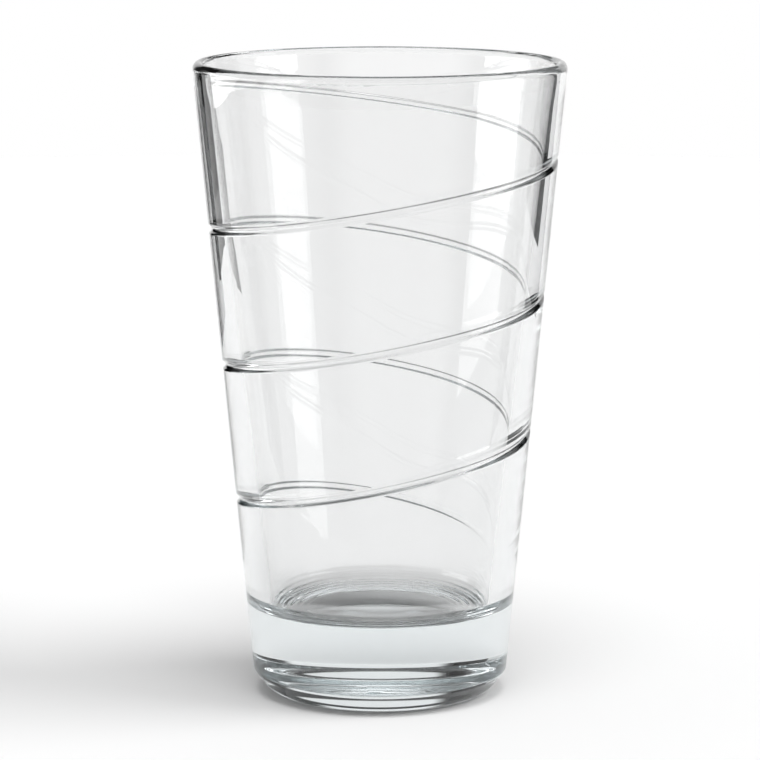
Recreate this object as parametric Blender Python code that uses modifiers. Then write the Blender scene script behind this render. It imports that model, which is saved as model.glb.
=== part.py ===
"""Mixing glass: a tapered bar tumbler, pressed as one piece of clear glass.

The body is turned from one profile: heavy solid base with a slightly hollowed heel, tapered wall that thins
towards the rim, and a rounded, fire-polished lip. A single shallow groove winds up the outside of the wall. Its
lower end fades out slowly and its upper end runs out quickly.
Units are metres, +Z is up, and the origin is the centre of the underside, on the table.
"""
import math

import bmesh
import bpy

# Outer form
HEIGHT = 0.152
RIM_RADIUS = 0.0445
BASE_RADIUS = 0.0301
LIP_ROUNDING = 0.0018

# Heel: a rounded shoulder, a slight hollow and a rounding down to the flat underside.
# The two slopes are the heel's lean away from upright, under the shoulder and over the foot.
HEEL_HEIGHT = 0.0059
SHOULDER_RADIUS = 0.0024
FOOT_RADIUS = 0.0061
SHOULDER_SLOPE = math.radians(44)
FOOT_SLOPE = math.radians(34.5)

# Wall and base: the inner floor rises from the middle to its edge
RIM_WALL = 0.0028
FOOT_WALL = 0.00605
BASE_THICKNESS = 0.0195
FLOOR_DISH = 0.00145
FLOOR_FILLET = 0.0041

# Spiral groove: it climbs counter-clockwise seen from above, and its lower end is on the +X side
GROOVE_TURNS = 3.5
GROOVE_FOOT_GAP = 0.0309
GROOVE_RIM_GAP = 0.0072
GROOVE_WIDTH = 0.00195
GROOVE_DEPTH = 0.00068
GROOVE_LOWER_FADE = 0.25
GROOVE_UPPER_FADE = 0.07
GROOVE_SWING = 0.00105
CUTTER_CLEARANCE = 0.0001

# Lifts of the groove above an even climb: at the back of every turn, and at its upper end (spans in turns)
BACK_LIFT = 0.0025
BACK_LIFT_START = -0.14
BACK_LIFT_SPAN = 0.62
END_LIFT = 0.0019
END_LIFT_SPAN = 0.35

# Facets: the groove's cutter has a point for each facet of the wall, so the cut keeps an even depth
SEGMENTS = 72
FLOOR_DISH_STEPS = 4
FLOOR_FILLET_STEPS = 6
LIP_STEPS = 12
SHOULDER_STEPS = 4
HOLLOW_STEPS = 3
FOOT_STEPS = 7
CUTTER_ROUNDING = 4
WELD_DISTANCE = 0.00001
SHARP_ANGLE = math.radians(28)

COLLECTION_NAME = "mixing_glass"
CUTTER_COLLECTION_NAME = "cutters"
NODE_NAME = "glass_tumbler"

# Lean of the outer wall away from upright
OUTER_SLOPE = (RIM_RADIUS - BASE_RADIUS) / HEIGHT
OUTER_LEAN = math.atan(OUTER_SLOPE)


def outer_radius(height):
    """Radius of the outer wall at a height above the table."""
    return BASE_RADIUS + OUTER_SLOPE * height


# Lean of the inner wall, from the inner floor to the rim
INNER_RIM_RADIUS = RIM_RADIUS - RIM_WALL
FLOOR_EDGE_HEIGHT = BASE_THICKNESS + FLOOR_DISH
INNER_FOOT_RADIUS = outer_radius(FLOOR_EDGE_HEIGHT) - FOOT_WALL
INNER_SLOPE = (INNER_RIM_RADIUS - INNER_FOOT_RADIUS) / (HEIGHT - FLOOR_EDGE_HEIGHT)
INNER_LEAN = math.atan(INNER_SLOPE)


def inner_radius(height):
    """Radius of the inner wall at a height above the table."""
    return INNER_RIM_RADIUS - INNER_SLOPE * (HEIGHT - height)


def clear_scene():
    """Remove every object that is already in the scene."""
    for old_object in list(bpy.data.objects):
        bpy.data.objects.remove(old_object, do_unlink=True)


def new_collection(name):
    """Add a collection to the scene."""
    collection = bpy.data.collections.new(name)
    bpy.context.scene.collection.children.link(collection)
    return collection


def arc_points(centre, radius, start, end, steps):
    """Points of an arc in the profile plane, as (radius from the axis, height) pairs."""
    points = []
    for step in range(steps + 1):
        angle = start + (end - start) * step / steps
        points.append((centre[0] + radius * math.cos(angle), centre[1] + radius * math.sin(angle)))
    return points


def floor_points():
    """Dished inner floor and the fillet that turns it up into the inner wall."""
    centre_height = FLOOR_EDGE_HEIGHT + FLOOR_FILLET
    centre_radius = inner_radius(centre_height) - FLOOR_FILLET / math.cos(INNER_LEAN)
    points = []
    for step in range(FLOOR_DISH_STEPS):
        share = step / FLOOR_DISH_STEPS
        points.append((centre_radius * share, BASE_THICKNESS + FLOOR_DISH * share * share))
    fillet = arc_points((centre_radius, centre_height), FLOOR_FILLET, -math.pi / 2, -INNER_LEAN, FLOOR_FILLET_STEPS)
    return points + fillet


def lip_points():
    """Rounded lip, half an ellipse from the inner wall over the top to the outer wall."""
    low = HEIGHT - LIP_ROUNDING
    middle = (outer_radius(low) + inner_radius(low)) / 2
    half_wall = (outer_radius(low) - inner_radius(low)) / 2
    points = []
    for step in range(LIP_STEPS + 1):
        angle = math.pi * (1 - step / LIP_STEPS)
        points.append((middle + half_wall * math.cos(angle), low + LIP_ROUNDING * math.sin(angle)))
    return points


def hollow_radius():
    """Radius of the heel's hollow, which takes up the height that the shoulder and the foot leave."""
    shoulder_drop = SHOULDER_RADIUS * (math.sin(SHOULDER_SLOPE) - math.sin(OUTER_LEAN))
    foot_drop = FOOT_RADIUS * (1 - math.sin(FOOT_SLOPE))
    return (HEEL_HEIGHT - shoulder_drop - foot_drop) / (math.sin(SHOULDER_SLOPE) - math.sin(FOOT_SLOPE))


def arc_centre(point, radius, slope):
    """Centre of an arc that leaves a point of the heel along the heel's slope there."""
    return (point[0] - radius * math.cos(slope), point[1] + radius * math.sin(slope))


def heel_points():
    """Shoulder, hollow and foot, each running on smoothly from the one before."""
    start = (outer_radius(HEEL_HEIGHT), HEEL_HEIGHT)
    centre = arc_centre(start, SHOULDER_RADIUS, OUTER_LEAN)
    shoulder = arc_points(centre, SHOULDER_RADIUS, -OUTER_LEAN, -SHOULDER_SLOPE, SHOULDER_STEPS)
    inward = -hollow_radius()
    centre = arc_centre(shoulder[-1], inward, SHOULDER_SLOPE)
    hollow = arc_points(centre, inward, -SHOULDER_SLOPE, -FOOT_SLOPE, HOLLOW_STEPS)
    centre = arc_centre(hollow[-1], FOOT_RADIUS, FOOT_SLOPE)
    foot = arc_points(centre, FOOT_RADIUS, -FOOT_SLOPE, -math.pi / 2, FOOT_STEPS)
    return shoulder + hollow[1:] + foot[1:]


def body_profile():
    """Closed section of the glass: up the inside, over the lip, down the outside and back to the axis."""
    return floor_points() + lip_points() + heel_points() + [(0.0, 0.0)]


def turned_body(collection, profile):
    """Turn the profile about the Z axis."""
    mesh = bpy.data.meshes.new(NODE_NAME)
    shape = bmesh.new()
    vertices = [shape.verts.new((radius, 0.0, height)) for radius, height in profile]
    for upper, lower in zip(vertices, vertices[1:]):
        shape.edges.new((upper, lower))
    shape.to_mesh(mesh)
    shape.free()
    body = bpy.data.objects.new(NODE_NAME, mesh)
    collection.objects.link(body)
    screw = body.modifiers.new("turning", "SCREW")
    screw.axis = "Z"
    screw.steps = SEGMENTS
    screw.render_steps = SEGMENTS
    screw.use_merge_vertices = True
    screw.merge_threshold = WELD_DISTANCE
    screw.use_smooth_shade = True
    return body


def cutter_radius():
    """Radius of the round cutter that leaves the groove's width at the groove's depth."""
    return (GROOVE_WIDTH * GROOVE_WIDTH / 4 + GROOVE_DEPTH * GROOVE_DEPTH) / (2 * GROOVE_DEPTH)


def smooth_step(share):
    """Ease from 0 to 1 as the share goes from 0 to 1, and stay there outside that range."""
    share = min(1.0, max(0.0, share))
    return share * share * (3 - 2 * share)


def groove_bite(turn):
    """How far the cutter reaches into the wall: nothing at both ends, full depth between the fades."""
    ease = smooth_step(turn / GROOVE_LOWER_FADE) * smooth_step((GROOVE_TURNS - turn) / GROOVE_UPPER_FADE)
    return (GROOVE_DEPTH + CUTTER_CLEARANCE) * ease - CUTTER_CLEARANCE


def back_lift(turn):
    """Rise of the groove round the back of each turn, nothing at the front."""
    share = ((turn - BACK_LIFT_START) % 1.0) / BACK_LIFT_SPAN
    if share > 1:
        return 0.0
    return BACK_LIFT * math.sin(math.pi * share) ** 2


def groove_height(turn):
    """Height of the groove: an even climb with a slight swing, and the lifts at the back and at the upper end."""
    lead = (HEIGHT - GROOVE_FOOT_GAP - GROOVE_RIM_GAP) / GROOVE_TURNS
    swing = GROOVE_SWING * math.sin(4 * math.pi * turn)
    end_lift = END_LIFT * smooth_step(1 - (GROOVE_TURNS - turn) / END_LIFT_SPAN)
    return GROOVE_FOOT_GAP + lead * turn - swing + back_lift(turn) + end_lift


def groove_point(turn):
    """Point on the cutter's path, just outside the wall."""
    angle = 2 * math.pi * turn
    height = groove_height(turn)
    stand_off = (cutter_radius() - groove_bite(turn)) / math.cos(OUTER_LEAN)
    radius = outer_radius(height) + stand_off
    return (radius * math.cos(angle), radius * math.sin(angle), height)


def groove_path():
    """Curve that the round cutter follows, as a tube with closed ends."""
    curve = bpy.data.curves.new("groove_path", "CURVE")
    curve.dimensions = "3D"
    curve.bevel_depth = cutter_radius()
    curve.bevel_resolution = CUTTER_ROUNDING
    curve.use_fill_caps = True
    steps = round(GROOVE_TURNS * SEGMENTS)
    spline = curve.splines.new("POLY")
    spline.points.add(steps)
    for index, point in enumerate(spline.points):
        point.co = groove_point(GROOVE_TURNS * index / steps) + (1.0,)
    return bpy.data.objects.new("groove_path", curve)


def groove_cutter(collection):
    """Closed mesh of the cutter's tube."""
    path = groove_path()
    collection.objects.link(path)
    bpy.context.view_layer.update()
    evaluated = path.evaluated_get(bpy.context.evaluated_depsgraph_get())
    mesh = bpy.data.meshes.new_from_object(evaluated)
    shape = bmesh.new()
    shape.from_mesh(mesh)
    bmesh.ops.remove_doubles(shape, verts=shape.verts, dist=WELD_DISTANCE)
    bmesh.ops.recalc_face_normals(shape, faces=shape.faces)
    shape.to_mesh(mesh)
    shape.free()
    cutter = bpy.data.objects.new("groove_cutter", mesh)
    cutter.matrix_world = path.matrix_world
    collection.objects.link(cutter)
    bpy.data.objects.remove(path, do_unlink=True)
    cutter.hide_render = True
    cutter.display_type = "WIRE"
    return cutter


def cut_groove(body, cutter):
    """Take the groove out of the wall."""
    cut = body.modifiers.new("spiral_groove", "BOOLEAN")
    cut.operation = "DIFFERENCE"
    cut.solver = "EXACT"
    cut.object = cutter


def clear_soda_glass():
    """Clear pressed soda-lime glass with a fire-polished surface."""
    material = bpy.data.materials.new("clear_soda_glass")
    material.use_nodes = True
    shader = material.node_tree.nodes["Principled BSDF"]
    shader.inputs["Base Color"].default_value = (0.93, 0.96, 0.95, 1.0)
    shader.inputs["Metallic"].default_value = 0.0
    shader.inputs["Roughness"].default_value = 0.02
    shader.inputs["IOR"].default_value = 1.52
    shader.inputs["Transmission Weight"].default_value = 1.0
    return material


def smooth_shading(body):
    """Shade the round surfaces smooth and keep the groove's edges crisp."""
    body.data.shade_smooth()
    body.data.set_sharp_from_angle(angle=SHARP_ANGLE)


def main():
    clear_scene()
    parts = new_collection(COLLECTION_NAME)
    cutters = new_collection(CUTTER_COLLECTION_NAME)
    body = turned_body(parts, body_profile())
    cut_groove(body, groove_cutter(cutters))
    body.data.materials.append(clear_soda_glass())
    smooth_shading(body)


main()
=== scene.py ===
"""Looks of the mixing glass: clear pressed glass with a spiral groove, on a pale table in a studio."""
import math

import bmesh
import bpy
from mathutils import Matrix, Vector


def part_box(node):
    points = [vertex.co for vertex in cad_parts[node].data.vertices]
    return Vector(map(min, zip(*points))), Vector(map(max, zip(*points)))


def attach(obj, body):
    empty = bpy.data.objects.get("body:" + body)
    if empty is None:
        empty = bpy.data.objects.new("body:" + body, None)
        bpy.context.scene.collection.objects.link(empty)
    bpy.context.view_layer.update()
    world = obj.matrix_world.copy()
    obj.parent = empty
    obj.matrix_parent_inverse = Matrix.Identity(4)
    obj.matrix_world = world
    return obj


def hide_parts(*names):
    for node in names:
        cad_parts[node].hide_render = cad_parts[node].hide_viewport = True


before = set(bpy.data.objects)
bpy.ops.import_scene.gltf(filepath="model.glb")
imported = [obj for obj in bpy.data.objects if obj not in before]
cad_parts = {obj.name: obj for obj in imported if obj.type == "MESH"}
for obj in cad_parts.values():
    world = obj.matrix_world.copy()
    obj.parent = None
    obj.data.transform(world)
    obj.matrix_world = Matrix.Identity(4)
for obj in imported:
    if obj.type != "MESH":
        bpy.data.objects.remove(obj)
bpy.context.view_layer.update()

MM = 0.001
NODE = "glass_tumbler"
highest_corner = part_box(NODE)[1]

# Sizes of the glass, in metres, as the solid has them
HEIGHT = highest_corner[2]
RIM_RADIUS = 44.5 * MM
BASE_RADIUS = 30.1 * MM
LIP_ROUNDING = 1.8 * MM
RIM_WALL = 2.8 * MM
FOOT_WALL = 6.05 * MM
BASE_THICKNESS = 19.5 * MM
FLOOR_DISH = 1.45 * MM
FLOOR_FILLET = 4.1 * MM
HEEL_HEIGHT = 5.9 * MM
SHOULDER_RADIUS = 2.4 * MM
FOOT_RADIUS = 6.1 * MM
SHOULDER_SLOPE = math.radians(44)
FOOT_SLOPE = math.radians(34.5)

# Lines of the outer and inner walls, worked out from those sizes
OUTER_SLOPE = (RIM_RADIUS - BASE_RADIUS) / HEIGHT
OUTER_LEAN = math.atan(OUTER_SLOPE)
WALL_TOP = HEIGHT - LIP_ROUNDING
FLOOR_EDGE_HEIGHT = BASE_THICKNESS + FLOOR_DISH
INNER_RIM_RADIUS = RIM_RADIUS - RIM_WALL
INNER_FOOT_RADIUS = BASE_RADIUS + OUTER_SLOPE * FLOOR_EDGE_HEIGHT - FOOT_WALL
INNER_SLOPE = (INNER_RIM_RADIUS - INNER_FOOT_RADIUS) / (HEIGHT - FLOOR_EDGE_HEIGHT)
INNER_LEAN = math.atan(INNER_SLOPE)

# Spiral groove: an even climb up the wall
GROOVE_TURNS = 3.5
GROOVE_FOOT_GAP = 30.9 * MM
GROOVE_RIM_GAP = 7.2 * MM
GROOVE_LEAD = (HEIGHT - GROOVE_FOOT_GAP - GROOVE_RIM_GAP) / GROOVE_TURNS
GROOVE_HALF_WIDTH = 1.0 * MM
GROOVE_DEPTH = 0.68 * MM

# Fades, swing and lifts of the groove, with fades and spans in turns along it
GROOVE_LOWER_FADE = 0.25
GROOVE_UPPER_FADE = 0.07
GROOVE_SWING = 1.05 * MM
SWINGS_PER_TURN = 2
BACK_LIFT = 2.5 * MM
BACK_LIFT_START = -0.14
BACK_LIFT_SPAN = 0.62
END_LIFT = 1.9 * MM
END_LIFT_SPAN = 0.35

# Turning marks of the plunger, in rings round the inner floor and its fillet, placed by radius plus height
RING_PITCH = 1.7 * MM
RING_DEPTH = 0.14 * MM
RINGS_START = 37.5 * MM
RINGS_SPAN = 14.5 * MM

# Finish of the glass: faint waves in its skin, and a tint that deepens with every metre of glass
GLASS_COLOUR = "#f6f6f6"
GLASS_IOR = 1.52
WAVE_SIZE = 18 * MM
WAVE_DEPTH = 0.02 * MM
WAVE_DETAIL = 1.0
TINT_COLOUR = "#cfdcdf"
TINT_DENSITY = 8.0

# Fineness of the mesh
COLUMNS_PER_TURN = 240
GROOVE_ROWS = 22
ROW_SPREAD = 5.35
LIP_STEPS = 28
INNER_WALL_STEPS = 16
FILLET_STEPS = 40
RINGED_FLOOR_STEPS = 24
PLAIN_FLOOR_STEPS = 8
SHOULDER_STEPS = 10
HOLLOW_STEPS = 8
FOOT_STEPS = 16
UNDERSIDE_STEPS = 6
POLE_RADIUS = 0.6 * MM
WELD = 0.004 * MM
CUT_TOLERANCE = 0.0001 * MM

# Camera that took the photograph: square frame, a little above the rim, with lens and sensor in millimetres
CAMERA_DISTANCE = 0.8898
CAMERA_HEIGHT = 0.2262
CAMERA_PITCH = math.radians(9.612)
CAMERA_LENS = 178.4
CAMERA_SENSOR = 36

# Bounces of light, through the walls of the glass and mirrored in them
GLASS_BOUNCES = 32
MIRROR_BOUNCES = 16

# Table, a hair below the underside of the glass
TABLE_RADIUS = 1.2
TABLE_SIDES = 96
TABLE_HEIGHT = -0.05 * MM
TABLE_COLOUR = "#fafafa"
TABLE_ROUGHNESS = 0.9

# Panels of the studio, as directions from the glass in degrees: azimuth from +X towards +Y, and heights
PANELS = (
    {"azimuth": 83, "half_width": 28, "edge": 4, "low": -60, "high": 16, "level": 1.0},
    {"azimuth": 90, "half_width": 22, "edge": 6, "low": 25, "high": 62, "level": 1.2},
    {"azimuth": 18, "half_width": 24, "edge": 10, "low": 22, "high": 62, "level": 1.3},
    {"azimuth": 142, "half_width": 22, "edge": 8, "low": 40, "high": 62, "level": 0.9},
    {"azimuth": -10, "half_width": 34, "edge": 16, "low": -60, "high": 16, "level": 0.8},
    {"azimuth": 163, "half_width": 32, "edge": 12, "low": -60, "high": 14, "level": 0.7},
    {"azimuth": 255, "half_width": 45, "edge": 15, "low": -60, "high": 20, "level": 1.1},
)
PANEL_HEIGHT_EDGE = 1.0
CEILING_HEIGHT = 62
CEILING_EDGE = 5

# Levels of light: the room and ceiling that the glass shows, the sky on the table, and the table's shade
LIGHT_COLOUR = "#ffffff"
ROOM_LEVEL = 0.05
CEILING_LEVEL = 1.7
SKY_LEVEL = 0.47
SHADE_LEVEL = 0.3

# Upright cards round the glass that the camera doesn't see, with spans in degrees and heights in metres
CARD_DISTANCE = 0.45
SOFT_BOXES = (
    {"name": "soft_box_right", "span": (-30, 3), "low": 0.015, "high": 0.19},
    {"name": "soft_box_left", "span": (147, 192), "low": 0.06, "high": 0.21},
)
BLACK_CARDS = (
    {"name": "black_card_right", "span": (26, 52), "low": 0.0, "high": 0.26},
    {"name": "black_card_left", "span": (113, 133), "low": 0.0, "high": 0.15},
)
SOFT_BOX_WHITE_LEVEL = 1.0
SOFT_BOX_GLINT_LEVEL = 3.6
BLACK_CARD_COLOUR = "#060606"

# Lamps for the table, in degrees: the key light comes from the right, soft enough for the shadow's edge
LAMPS = (
    {"name": "key_light", "azimuth": -8, "height": 38, "spread": 40, "strength": 1.4},
    {"name": "top_light", "azimuth": 275, "height": 71, "spread": 30, "strength": 1.1},
)


def outer_radius(height):
    """Radius of the outer wall at a height above the table."""
    return BASE_RADIUS + OUTER_SLOPE * height


def inner_radius(height):
    """Radius of the inner wall at a height above the table."""
    return INNER_RIM_RADIUS - INNER_SLOPE * (HEIGHT - height)


def arc(centre, radius, start, end, steps):
    """Points of an arc in the profile plane, without its first point."""
    points = []
    for step in range(1, steps + 1):
        angle = start + (end - start) * step / steps
        points.append((centre[0] + radius * math.cos(angle), centre[1] + radius * math.sin(angle)))
    return points


def straight(start, end, steps):
    """Points of a straight stretch of the profile, without its first point."""
    points = []
    for step in range(1, steps + 1):
        share = step / steps
        points.append((start[0] + (end[0] - start[0]) * share, start[1] + (end[1] - start[1]) * share))
    return points


def lip_points():
    """Half an ellipse from the outer wall over the lip to the inner wall."""
    middle = (outer_radius(WALL_TOP) + inner_radius(WALL_TOP)) / 2
    half_wall = (outer_radius(WALL_TOP) - inner_radius(WALL_TOP)) / 2
    points = []
    for step in range(1, LIP_STEPS + 1):
        angle = math.pi * step / LIP_STEPS
        points.append((middle + half_wall * math.cos(angle), WALL_TOP + LIP_ROUNDING * math.sin(angle)))
    return points


def ring_mark(radius, height):
    """Rise of the turning marks at a place of the floor or its fillet: rings that swell and die out."""
    along = radius + height - RINGS_START
    if not 0 < along < RINGS_SPAN:
        return 0.0
    swell = RING_DEPTH / 2 * math.sin(math.pi * along / RINGS_SPAN)
    return swell * math.sin(2 * math.pi * along / RING_PITCH)


def fillet_points(centre):
    """Fillet from the inner wall round to the floor, with its share of the turning marks."""
    points = []
    for radius, height in arc(centre, FLOOR_FILLET, -INNER_LEAN, -math.pi / 2, FILLET_STEPS):
        share = ring_mark(radius, height) / FLOOR_FILLET
        points.append((radius + (centre[0] - radius) * share, height + (centre[1] - height) * share))
    return points


def floor_points(edge_radius):
    """Dished floor from its edge in to the axis, stepped finely where the turning marks are."""
    plain_radius = RINGS_START - FLOOR_EDGE_HEIGHT
    line = straight((edge_radius, 0.0), (plain_radius, 0.0), RINGED_FLOOR_STEPS)
    line += straight((plain_radius, 0.0), (POLE_RADIUS, 0.0), PLAIN_FLOOR_STEPS)
    points = []
    for radius, _ in line:
        height = BASE_THICKNESS + FLOOR_DISH * (radius / edge_radius) ** 2
        points.append((radius, height + ring_mark(radius, height)))
    return points


def lip_and_inside():
    """Profile from the top of the outer wall over the lip, down the inner wall and in along the floor."""
    centre_height = FLOOR_EDGE_HEIGHT + FLOOR_FILLET
    centre_radius = inner_radius(centre_height) - FLOOR_FILLET / math.cos(INNER_LEAN)
    fillet_height = centre_height - FLOOR_FILLET * math.sin(INNER_LEAN)
    points = lip_points()
    points += straight(points[-1], (inner_radius(fillet_height), fillet_height), INNER_WALL_STEPS)
    points += fillet_points((centre_radius, centre_height))
    points += floor_points(centre_radius)
    return points


def hollow_radius():
    """Radius of the heel's hollow, which takes up the height that the shoulder and the foot leave."""
    shoulder_drop = SHOULDER_RADIUS * (math.sin(SHOULDER_SLOPE) - math.sin(OUTER_LEAN))
    foot_drop = FOOT_RADIUS * (1 - math.sin(FOOT_SLOPE))
    return (HEEL_HEIGHT - shoulder_drop - foot_drop) / (math.sin(SHOULDER_SLOPE) - math.sin(FOOT_SLOPE))


def arc_centre(point, radius, slope):
    """Centre of an arc that leaves a point of the heel along the heel's slope there."""
    return (point[0] - radius * math.cos(slope), point[1] + radius * math.sin(slope))


def heel_and_underside():
    """Profile from the outer wall round shoulder, hollow and foot, and in along the flat underside."""
    start = (outer_radius(HEEL_HEIGHT), HEEL_HEIGHT)
    centre = arc_centre(start, SHOULDER_RADIUS, OUTER_LEAN)
    points = arc(centre, SHOULDER_RADIUS, -OUTER_LEAN, -SHOULDER_SLOPE, SHOULDER_STEPS)
    inward = -hollow_radius()
    centre = arc_centre(points[-1], inward, SHOULDER_SLOPE)
    points += arc(centre, inward, -SHOULDER_SLOPE, -FOOT_SLOPE, HOLLOW_STEPS)
    centre = arc_centre(points[-1], FOOT_RADIUS, FOOT_SLOPE)
    points += arc(centre, FOOT_RADIUS, -FOOT_SLOPE, -math.pi / 2, FOOT_STEPS)
    points += straight(points[-1], (POLE_RADIUS, 0.0), UNDERSIDE_STEPS)
    return points


def smooth_step(share):
    """Ease from 0 to 1 as the share goes from 0 to 1, and stay there outside that range."""
    share = min(1.0, max(0.0, share))
    return share * share * (3 - 2 * share)


def groove_fade(turn):
    """Share of the groove's full depth: nothing past both ends, full between the fades."""
    return smooth_step(turn / GROOVE_LOWER_FADE) * smooth_step((GROOVE_TURNS - turn) / GROOVE_UPPER_FADE)


def back_lift(turn):
    """Rise of the groove round the back of each turn, nothing at the front."""
    share = ((turn - BACK_LIFT_START) % 1.0) / BACK_LIFT_SPAN
    if share > 1:
        return 0.0
    return BACK_LIFT * math.sin(math.pi * share) ** 2


def ribbon_height(turn, offset):
    """Height on the wall at an offset above the groove's centre line."""
    swing = GROOVE_SWING * math.sin(2 * math.pi * SWINGS_PER_TURN * turn)
    # The lift of the upper end dies out to the ribbon's edges, so that each turn still meets the next
    end_lift = END_LIFT * smooth_step(1 - (GROOVE_TURNS - turn) / END_LIFT_SPAN)
    end_lift *= 1 - abs(offset) / (GROOVE_LEAD / 2)
    return GROOVE_FOOT_GAP + GROOVE_LEAD * turn - swing + back_lift(turn) + end_lift + offset


def wall_point(turn, offset):
    """Place on the outer wall, from the turns along the groove and the offset above its centre line."""
    angle = 2 * math.pi * turn
    height = ribbon_height(turn, offset)
    across = offset / GROOVE_HALF_WIDTH
    depth = GROOVE_DEPTH * groove_fade(turn) * max(0.0, 1 - across * across)
    radius = outer_radius(height) - depth
    return Vector((radius * math.cos(angle), radius * math.sin(angle), height))


def deselect_everything():
    """Deselect every object before a new piece is added, because operators act on all that is selected."""
    bpy.ops.object.select_all(action="DESELECT")


def add_ribbon():
    """A grid wound round the wall as one ribbon along the groove, a lead wide, so that its edges meet."""
    # Half a turn more at both ends, as the ribbon reaches half a lead to each side of the groove
    first_turn = math.floor(-GROOVE_FOOT_GAP / GROOVE_LEAD - 0.5)
    last_turn = math.ceil((HEIGHT - GROOVE_FOOT_GAP) / GROOVE_LEAD + 0.5)
    columns = (last_turn - first_turn) * COLUMNS_PER_TURN
    deselect_everything()
    # At this size the flat grid runs from -1 to 1 both ways
    bpy.ops.mesh.primitive_grid_add(x_subdivisions=columns, y_subdivisions=2 * GROOVE_ROWS, size=2)
    ribbon = bpy.context.object
    ribbon.name = "clear_glass_tumbler"
    # The rows lie close together in the groove and further apart on the plain wall
    reach = math.sinh(GROOVE_ROWS / ROW_SPREAD)
    for vertex in ribbon.data.vertices:
        turn = first_turn + round((vertex.co.x + 1) / 2 * columns) / COLUMNS_PER_TURN
        row = round(vertex.co.y * GROOVE_ROWS)
        offset = GROOVE_LEAD / 2 * math.sinh(row / ROW_SPREAD) / reach
        vertex.co = wall_point(turn, offset)
    return ribbon


def trim(height, keep_below):
    """Cut the mesh level at a height and drop what is above or below."""
    bpy.ops.mesh.select_all(action="SELECT")
    bpy.ops.mesh.bisect(
        plane_co=(0, 0, height),
        plane_no=(0, 0, 1),
        clear_outer=keep_below,
        clear_inner=not keep_below,
        threshold=CUT_TOLERANCE,
    )


def select_loop(glass, height):
    """Select the open edge at a height."""
    bpy.ops.mesh.select_all(action="DESELECT")
    shape = bmesh.from_edit_mesh(glass.data)
    for edge in shape.edges:
        level = max(abs(vertex.co.z - height) for vertex in edge.verts)
        edge.select_set(edge.is_boundary and level < WELD)
    bmesh.update_edit_mesh(glass.data)


def grow(glass, profile):
    """Extrude the selected open edge ring by ring along a profile, and close it at the axis."""
    for radius, height in profile:
        bpy.ops.mesh.extrude_edges_move()
        shape = bmesh.from_edit_mesh(glass.data)
        for vertex in shape.verts:
            if vertex.select:
                flat = vertex.co.xy.normalized() * radius
                vertex.co = (flat.x, flat.y, height)
        bmesh.update_edit_mesh(glass.data)
    bpy.ops.mesh.extrude_edges_move()
    bpy.ops.mesh.merge(type="CENTER")


def build_glass():
    """The whole glass as one closed skin: grooved wall, lip, inside, heel and underside."""
    glass = add_ribbon()
    bpy.ops.object.mode_set(mode="EDIT")
    bpy.ops.mesh.select_mode(type="VERT")
    bpy.ops.mesh.select_all(action="SELECT")
    bpy.ops.mesh.remove_doubles(threshold=WELD)
    trim(WALL_TOP, keep_below=True)
    trim(HEEL_HEIGHT, keep_below=False)
    bpy.ops.mesh.select_all(action="SELECT")
    bpy.ops.mesh.remove_doubles(threshold=WELD)
    select_loop(glass, WALL_TOP)
    grow(glass, lip_and_inside())
    select_loop(glass, HEEL_HEIGHT)
    grow(glass, heel_and_underside())
    bpy.ops.mesh.select_all(action="SELECT")
    bpy.ops.mesh.normals_make_consistent(inside=False)
    bpy.ops.object.mode_set(mode="OBJECT")
    bpy.ops.object.shade_smooth()
    return glass


def linear(hex_colour):
    """Linear colour of an sRGB hex value, by the curve of the sRGB standard."""
    values = []
    for start in (1, 3, 5):
        level = int(hex_colour[start:start + 2], 16) / 255
        values.append(level / 12.92 if level <= 0.04045 else ((level + 0.055) / 1.055) ** 2.4)
    return (*values, 1.0)


def add_node(tree, kind, settings=None, values=None, links=None):
    """Add a node, set its options and socket values, and link other nodes' outputs to its sockets."""
    node = tree.nodes.new(kind)
    for name, value in (settings or {}).items():
        setattr(node, name, value)
    for socket, value in (values or {}).items():
        node.inputs[socket].default_value = value
    for socket, output in (links or {}).items():
        tree.links.new(output, node.inputs[socket])
    return node


def new_material(name):
    """An empty material with its node tree."""
    material = bpy.data.materials.new(name)
    material.use_nodes = True
    material.node_tree.nodes.clear()
    return material, material.node_tree


def clear_pressed_glass():
    """Soda-lime glass, pressed and fire-polished."""
    # It gives the eye a clear, mirror-smooth skin, a little wavy, and a faint blue-green where it is thick
    material, tree = new_material("clear_pressed_soda_lime_glass")
    place = add_node(tree, "ShaderNodeTexCoord").outputs["Object"]
    waves = add_node(
        tree,
        "ShaderNodeTexNoise",
        values={"Scale": 1 / WAVE_SIZE, "Detail": WAVE_DETAIL},
        links={"Vector": place},
    )
    bump = add_node(
        tree,
        "ShaderNodeBump",
        values={"Distance": WAVE_DEPTH},
        links={"Height": waves.outputs["Fac"]},
    )
    glass = add_node(
        tree,
        "ShaderNodeBsdfPrincipled",
        values={
            "Base Color": linear(GLASS_COLOUR),
            "Roughness": 0.0,
            "IOR": GLASS_IOR,
            "Transmission Weight": 1.0,
        },
        links={"Normal": bump.outputs["Normal"]},
    )
    tint = add_node(
        tree,
        "ShaderNodeVolumeAbsorption",
        values={"Color": linear(TINT_COLOUR), "Density": TINT_DENSITY},
    )
    add_node(
        tree,
        "ShaderNodeOutputMaterial",
        links={"Surface": glass.outputs["BSDF"], "Volume": tint.outputs["Volume"]},
    )
    return material


def table_top():
    """Laminate with a matt face."""
    # It gives the eye an even, plain white without gloss
    material, tree = new_material("matt_white_laminate")
    laminate = add_node(
        tree,
        "ShaderNodeBsdfPrincipled",
        values={
            "Base Color": linear(TABLE_COLOUR),
            "Roughness": TABLE_ROUGHNESS,
            "Specular IOR Level": 0.0,
        },
    )
    add_node(tree, "ShaderNodeOutputMaterial", links={"Surface": laminate.outputs["BSDF"]})
    return material


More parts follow.
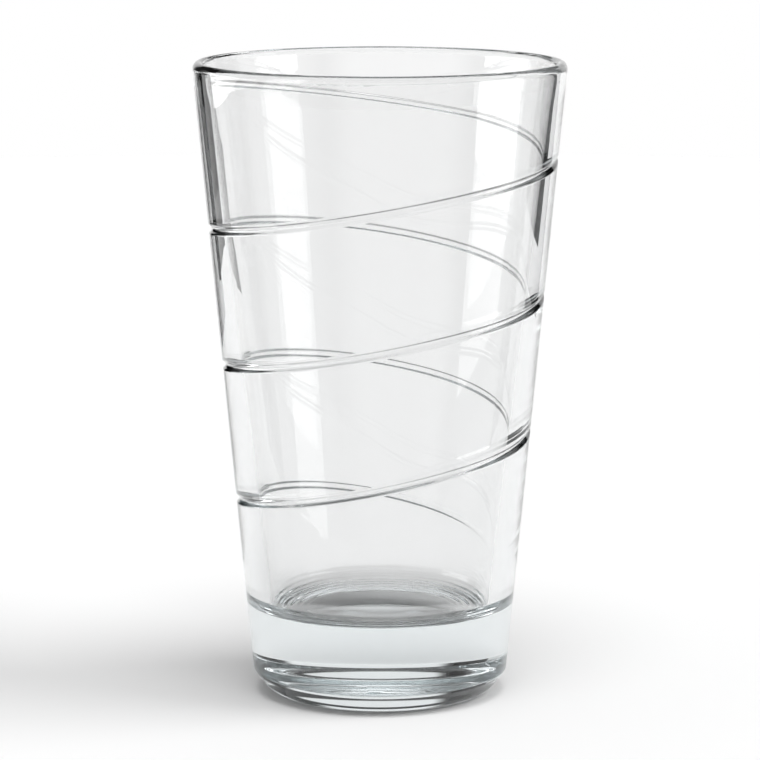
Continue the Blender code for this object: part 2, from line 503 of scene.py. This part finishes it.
def build_table():
    """Round pale table that the glass stands on."""
    deselect_everything()
    bpy.ops.mesh.primitive_circle_add(
        vertices=TABLE_SIDES,
        radius=TABLE_RADIUS,
        fill_type="NGON",
        location=(0, 0, TABLE_HEIGHT),
    )
    table = bpy.context.object
    table.name = "table"
    table.data.materials.append(table_top())


def black_card_face():
    """Card with a matt black face."""
    # Nearly no light comes back from it, so the edges of the glass turn dark
    material, tree = new_material("matt_black_card")
    face = add_node(tree, "ShaderNodeBsdfDiffuse", values={"Color": linear(BLACK_CARD_COLOUR)})
    add_node(tree, "ShaderNodeOutputMaterial", links={"Surface": face.outputs["BSDF"]})
    return material


def soft_box_face():
    """White diffuser cloth of a soft box."""
    # It is plain white seen straight through the glass, and a bright streak where the glass mirrors it
    material, tree = new_material("soft_box_cloth")
    path = add_node(tree, "ShaderNodeLightPath")
    level = add_node(
        tree,
        "ShaderNodeMix",
        values={"A": SOFT_BOX_WHITE_LEVEL, "B": SOFT_BOX_GLINT_LEVEL},
        links={"Factor": path.outputs["Glossy Depth"]},
    )
    glow = add_node(
        tree,
        "ShaderNodeEmission",
        values={"Color": linear(LIGHT_COLOUR)},
        links={"Strength": level.outputs["Result"]},
    )
    add_node(tree, "ShaderNodeOutputMaterial", links={"Surface": glow.outputs["Emission"]})
    return material


def add_card(card, face):
    """Put one upright card at its span of directions and its heights, where only the glass shows it."""
    middle = math.radians(sum(card["span"]) / 2)
    half = CARD_DISTANCE * math.tan(math.radians(card["span"][1] - card["span"][0]) / 2)
    deselect_everything()
    # At this size the flat plane runs from -1 to 1 both ways
    bpy.ops.mesh.primitive_plane_add(size=2)
    plane = bpy.context.object
    plane.name = card["name"]
    for vertex in plane.data.vertices:
        aside = vertex.co.x * half
        vertex.co = (
            CARD_DISTANCE * math.cos(middle) - aside * math.sin(middle),
            CARD_DISTANCE * math.sin(middle) + aside * math.cos(middle),
            card["low"] + (card["high"] - card["low"]) * (vertex.co.y + 1) / 2,
        )
    plane.data.materials.append(face)
    plane.visible_camera = False
    plane.visible_diffuse = False
    plane.visible_shadow = False


def build_cards():
    """Soft boxes for the white streaks on the glass, and black cards for its dark edges."""
    for card in SOFT_BOXES:
        add_card(card, soft_box_face())
    for card in BLACK_CARDS:
        add_card(card, black_card_face())


def panel_light(tree, direction, elevation, panel):
    """Light of one panel of the studio: its level on the panel and nothing off it, with a soft edge."""
    azimuth = math.radians(panel["azimuth"])
    shares = []
    for axis in (
        (-math.sin(azimuth), math.cos(azimuth), 0),
        (math.cos(azimuth), math.sin(azimuth), 0),
    ):
        share = add_node(
            tree,
            "ShaderNodeVectorMath",
            settings={"operation": "DOT_PRODUCT"},
            values={1: axis},
            links={0: direction},
        )
        shares.append(share.outputs["Value"])
    turn = add_node(
        tree,
        "ShaderNodeMath",
        settings={"operation": "ARCTAN2"},
        links={0: shares[0], 1: shares[1]},
    )
    tilt = add_node(
        tree,
        "ShaderNodeMath",
        settings={"operation": "SUBTRACT"},
        values={1: math.radians((panel["low"] + panel["high"]) / 2)},
        links={0: elevation},
    )
    sides = []
    for output, half_size, edge in (
        (turn.outputs["Value"], panel["half_width"], panel["edge"]),
        (tilt.outputs["Value"], (panel["high"] - panel["low"]) / 2, PANEL_HEIGHT_EDGE),
    ):
        away = add_node(tree, "ShaderNodeMath", settings={"operation": "ABSOLUTE"}, links={0: output})
        side = add_node(
            tree,
            "ShaderNodeMapRange",
            settings={"interpolation_type": "SMOOTHSTEP"},
            values={
                "From Min": math.radians(half_size + edge),
                "From Max": math.radians(half_size - edge),
            },
            links={"Value": away.outputs["Value"]},
        )
        sides.append(side.outputs["Result"])
    both = add_node(
        tree,
        "ShaderNodeMath",
        settings={"operation": "MULTIPLY"},
        links={0: sides[0], 1: sides[1]},
    )
    light = add_node(
        tree,
        "ShaderNodeMath",
        settings={"operation": "MULTIPLY"},
        values={1: panel["level"]},
        links={0: both.outputs["Value"]},
    )
    return light.outputs["Value"]


def room_light(tree):
    """What the glass shows of the studio: a dim room with a bright ceiling and the panels round it."""
    direction = add_node(tree, "ShaderNodeTexCoord").outputs["Generated"]
    parts = add_node(tree, "ShaderNodeSeparateXYZ", links={0: direction})
    elevation = add_node(
        tree,
        "ShaderNodeMath",
        settings={"operation": "ARCSINE"},
        links={0: parts.outputs["Z"]},
    ).outputs["Value"]
    level = add_node(
        tree,
        "ShaderNodeMapRange",
        settings={"interpolation_type": "SMOOTHSTEP"},
        values={
            "From Min": math.radians(CEILING_HEIGHT - CEILING_EDGE),
            "From Max": math.radians(CEILING_HEIGHT + CEILING_EDGE),
            "To Min": ROOM_LEVEL,
            "To Max": CEILING_LEVEL,
        },
        links={"Value": elevation},
    ).outputs["Result"]
    for panel in PANELS:
        light = panel_light(tree, direction, elevation, panel)
        level = add_node(
            tree,
            "ShaderNodeMath",
            settings={"operation": "MAXIMUM"},
            links={0: level, 1: light},
        ).outputs["Value"]
    return level


def build_studio():
    """Light from all round: plain white for the camera, the room in the glass, and a sky for the table."""
    world = bpy.data.worlds.new("studio")
    bpy.context.scene.world = world
    world.use_nodes = True
    tree = world.node_tree
    tree.nodes.clear()
    path = add_node(tree, "ShaderNodeLightPath")
    in_glass = add_node(
        tree,
        "ShaderNodeMath",
        settings={"operation": "MAXIMUM"},
        links={0: path.outputs["Is Glossy Ray"], 1: path.outputs["Is Transmission Ray"]},
    )
    # The table gets an even shade through the glass, and not the panels
    glass_level = add_node(
        tree,
        "ShaderNodeMix",
        values={"B": SHADE_LEVEL},
        links={"Factor": path.outputs["Diffuse Depth"], "A": room_light(tree)},
    )
    level = add_node(
        tree,
        "ShaderNodeMix",
        values={"A": SKY_LEVEL},
        links={"Factor": in_glass.outputs["Value"], "B": glass_level.outputs["Result"]},
    )
    strength = add_node(
        tree,
        "ShaderNodeMath",
        settings={"operation": "MAXIMUM"},
        links={0: level.outputs["Result"], 1: path.outputs["Is Camera Ray"]},
    )
    light = add_node(
        tree,
        "ShaderNodeBackground",
        values={"Color": linear(LIGHT_COLOUR)},
        links={"Strength": strength.outputs["Value"]},
    )
    add_node(tree, "ShaderNodeOutputWorld", links={"Surface": light.outputs["Background"]})


def build_lamps():
    """Soft light for the table. The glass mirrors the studio's panels and not these lamps."""
    for lamp in LAMPS:
        data = bpy.data.lights.new(lamp["name"], "SUN")
        data.energy = lamp["strength"]
        data.angle = math.radians(lamp["spread"])
        item = bpy.data.objects.new(lamp["name"], data)
        item.rotation_euler = (0, math.radians(90 - lamp["height"]), math.radians(lamp["azimuth"]))
        item.visible_glossy = False
        item.visible_transmission = False
        bpy.context.scene.collection.objects.link(item)


def build_camera():
    """Camera at the photograph's place."""
    data = bpy.data.cameras.new("camera")
    data.sensor_width = CAMERA_SENSOR
    data.lens = CAMERA_LENS
    camera = bpy.data.objects.new("camera", data)
    camera.location = (0, -CAMERA_DISTANCE, CAMERA_HEIGHT)
    camera.rotation_euler = (math.pi / 2 - CAMERA_PITCH, 0, 0)
    bpy.context.scene.collection.objects.link(camera)
    bpy.context.scene.camera = camera


def set_rendering():
    """Plain colours, and enough bounces for light to get through all the walls of the glass."""
    scene = bpy.context.scene
    scene.view_settings.view_transform = "Standard"
    scene.cycles.max_bounces = GLASS_BOUNCES
    scene.cycles.transmission_bounces = GLASS_BOUNCES
    scene.cycles.glossy_bounces = MIRROR_BOUNCES


build_camera()
tumbler = build_glass()
tumbler.data.materials.append(clear_pressed_glass())
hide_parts(NODE)
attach(tumbler, "root")
build_table()
build_cards()
build_studio()
build_lamps()
set_rendering()
